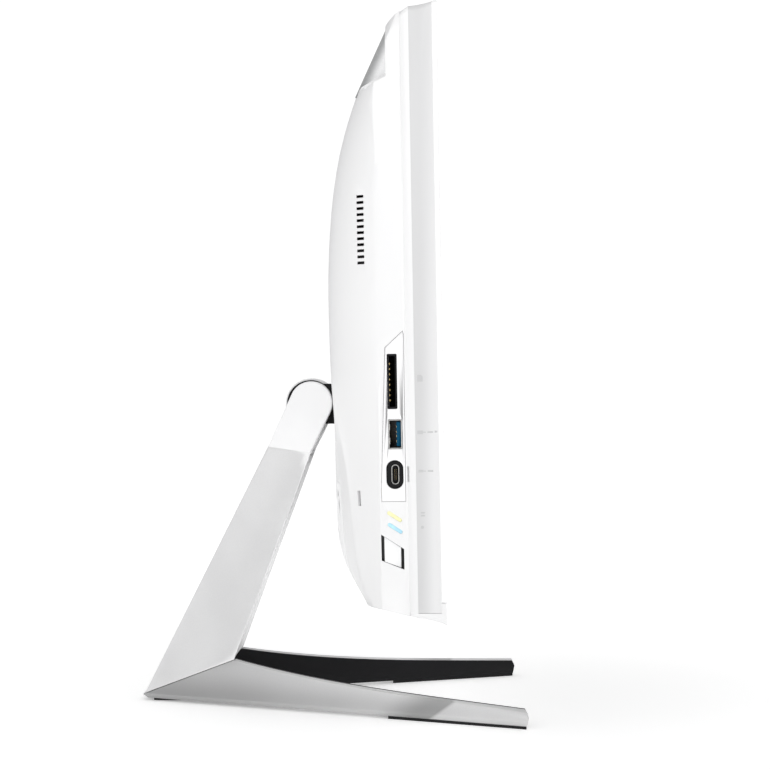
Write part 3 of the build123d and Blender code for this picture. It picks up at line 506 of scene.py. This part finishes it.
# Faint generic marks beside the openings, as outlines in (depth, height).
def bar(depth, z, length, thick):
    half = thick / 2
    return [(depth, z - half), (depth, z + half), (depth - length, z + half), (depth - length, z - half)]


def plug_mark(depth, z, length=2.6, tall=1.7):
    """A small plug: its housing and a stub for the cable."""
    low, high = z - tall / 2, z + tall / 2
    rear = depth - length
    return [(depth, low), (depth, high), (rear, high), (rear, z + 0.25), (rear - 1.4, z + 0.25),
            (rear - 1.4, z - 0.25), (rear, z - 0.25), (rear, low)]


def card_mark(depth, z, width=2.5, tall=3.2, corner=0.8):
    return [(depth, z - tall / 2), (depth, z + tall / 2), (depth - width + corner, z + tall / 2),
            (depth - width, z + tall / 2 - corner), (depth - width, z - tall / 2)]


def round_mark(depth, z, radius=0.75, sides=20):
    turns = [2 * math.pi * index / sides for index in range(sides)]
    return [(depth + radius * math.cos(turn), z + radius * math.sin(turn)) for turn in turns]


BAND_MARKS = {
    "mark_card": [card_mark(12.2, CARD_Z + 1.3)],
    "mark_usb_a": [plug_mark(12.6, USB_A_Z + 0.8), bar(7.8, USB_A_Z + 0.8, 2.6, 0.8),
                   bar(4.4, USB_A_Z + 1.0, 1.2, 0.9)],
    "mark_usb_c": [plug_mark(12.4, USB_C_Z + 1.6, 2.2, 1.2), bar(8.0, USB_C_Z + 1.6, 2.6, 0.8)],
    "mark_drive": [bar(11.6, 119.5, 1.9, 0.7), bar(11.6, 118.1, 1.9, 0.7)],
    "mark_power": [round_mark(11.0, 112.6)],
}


def build_band_marks(materials):
    """Thin printed marks that lie on the curved side band."""
    surface = NODES["front_frame"].data
    tree = BVHTree.FromPolygons([vertex.co for vertex in surface.vertices],
                                [face.vertices for face in surface.polygons])
    proud = Vector((-0.03 * MM, 0.0, 0.0))
    sunk = Vector((0.2 * MM, 0.0, 0.0))

    def on_band(depth, z):
        start = on_head(-300.0, depth, z)
        return tree.ray_cast(start, Vector((1.0, 0.0, 0.0)))[0]

    for name, outlines in BAND_MARKS.items():
        prisms = []
        for outline in outlines:
            points = [on_band(depth, z) for depth, z in outline]
            prisms.append(([point + proud for point in points], [point + sunk for point in points]))
        head_piece(name, prisms, materials["mark_print"])


# ---------------------------------------------------------------- stage, lights, camera
def floor_material():
    """White floor that glows a little more with distance, so that it runs into the backdrop."""
    n = Nodes("stage_floor")
    far_squared = n.math("ADD", n.math("POWER", n.axis("X"), 2.0), n.math("POWER", n.axis("Y"), 2.0))
    far = n.math("SQRT", far_squared)
    n.set(Base_Color=(0.93, 0.93, 0.93), Roughness=0.9, Specular_IOR_Level=0.05,
          Emission_Color=(1.0, 1.0, 1.0), Emission_Strength=n.span(far, 0.12, 0.9, 0.26, 0.5))
    return n.material


def build_stage():
    mesh = bpy.data.meshes.new("floor")
    bm = bmesh.new()
    bmesh.ops.create_circle(bm, cap_ends=True, radius=FLOOR_RADIUS, segments=96)
    bm.to_mesh(mesh)
    floor = bpy.data.objects.new("floor", mesh)
    bpy.context.scene.collection.objects.link(floor)
    floor.data.materials.append(floor_material())


def build_world():
    """White surroundings for the camera and the bounce light, greyer at the top for reflections."""
    world = bpy.data.worlds.new("studio")
    bpy.context.scene.world = world
    world.use_nodes = True
    tree = world.node_tree
    tree.nodes.clear()
    out = tree.nodes.new("ShaderNodeOutputWorld")
    plain = tree.nodes.new("ShaderNodeBackground")
    plain.inputs["Strength"].default_value = WORLD_LEVEL
    seen = tree.nodes.new("ShaderNodeBackground")
    seen.inputs["Color"].default_value = (1.0, 1.0, 1.0, 1.0)
    seen.inputs["Strength"].default_value = BACKDROP_LEVEL
    glossy = tree.nodes.new("ShaderNodeBackground")
    coords = tree.nodes.new("ShaderNodeTexCoord")
    split = tree.nodes.new("ShaderNodeSeparateXYZ")
    tree.links.new(coords.outputs["Generated"], split.inputs[0])
    behind = tree.nodes.new("ShaderNodeMapRange")
    for key, number in (("From Min", -0.1), ("From Max", 1.0), ("To Min", 1.0), ("To Max", 0.62)):
        behind.inputs[key].default_value = number
    tree.links.new(split.outputs["Y"], behind.inputs["Value"])
    tree.links.new(behind.outputs["Result"], plain.inputs["Color"])
    ramp = tree.nodes.new("ShaderNodeValToRGB")
    ramp.color_ramp.elements[0].position = 0.35
    ramp.color_ramp.elements[0].color = (0.55, 0.55, 0.56, 1)
    ramp.color_ramp.elements[1].position = 0.75
    ramp.color_ramp.elements[1].color = (1.0, 1.0, 1.0, 1)
    tree.links.new(split.outputs["Z"], ramp.inputs[0])
    tree.links.new(ramp.outputs[0], glossy.inputs["Color"])
    glossy.inputs["Strength"].default_value = REFLECTION_LEVEL
    rays = tree.nodes.new("ShaderNodeLightPath")
    first = tree.nodes.new("ShaderNodeMixShader")
    second = tree.nodes.new("ShaderNodeMixShader")
    tree.links.new(rays.outputs["Is Glossy Ray"], first.inputs[0])
    tree.links.new(plain.outputs[0], first.inputs[1])
    tree.links.new(glossy.outputs[0], first.inputs[2])
    tree.links.new(rays.outputs["Is Camera Ray"], second.inputs[0])
    tree.links.new(first.outputs[0], second.inputs[1])
    tree.links.new(seen.outputs[0], second.inputs[2])
    tree.links.new(second.outputs[0], out.inputs[0])


def area_light(name, place, target, size, power):
    data = bpy.data.lights.new(name, "AREA")
    data.shape = "RECTANGLE"
    data.size = size[0]
    data.size_y = size[1]
    data.energy = power
    obj = bpy.data.objects.new(name, data)
    obj.location = place
    obj.rotation_euler = (Vector(target) - Vector(place)).to_track_quat("-Z", "Y").to_euler()
    bpy.context.scene.collection.objects.link(obj)


def build_lights():
    middle = (0.0, 0.0, 0.2)
    area_light("key", (-1.5, -1.1, 1.5), middle, (1.2, 1.2), KEY_WATTS)
    area_light("fill", (-1.7, 0.7, 0.9), middle, (1.0, 1.0), FILL_WATTS)


def build_camera():
    data = bpy.data.cameras.new("camera")
    data.lens = 113.7
    data.sensor_width = 36.0
    camera = bpy.data.objects.new("camera", data)
    place = Vector((-1.4, -0.0591, 0.1847))
    target = Vector((0.0, -0.0303, 0.1807))
    camera.location = place
    camera.rotation_euler = (target - place).to_track_quat("-Z", "Y").to_euler()
    bpy.context.scene.collection.objects.link(camera)
    bpy.context.scene.camera = camera


# ---------------------------------------------------------------- build
def leg_metal(side):
    # Silver with painted shade and a painted dark reflection.
    return silver_metal(f"silver_leg_{side}", LEG_SHADE_TONES, LEG_SHADE_ALONG, LEG_SHADE_LIFT)


NODE_MATERIALS = {
    "power_button": button_material,
    "side_io_panel": lambda: moulded("side_panel_white", (0.86, 0.86, 0.865), 0.42, 0.012, 1200),
    "usb_a_shell": lambda: socket_metal("usb_a_metal", USB_A_MOUTH),
    "usb_c_shell": lambda: socket_metal("usb_c_metal", USB_C_MOUTH),
    "leg_left": lambda: leg_metal("left"),
    "leg_right": lambda: leg_metal("right"),
}

materials = build_materials()
slots = {row["node"]: row["material_slot"] for row in frame["record"]["subparts"]}
for node, obj in NODES.items():
    obj.data.materials.clear()
    special = NODE_MATERIALS.get(node)
    obj.data.materials.append(special() if special else materials[slots[node]])
    finish_cad_node(node)
build_connector_contacts(materials)
build_band_marks(materials)

build_stage()
build_world()
build_lights()
build_camera()
bpy.context.scene.view_settings.view_transform = "Standard"
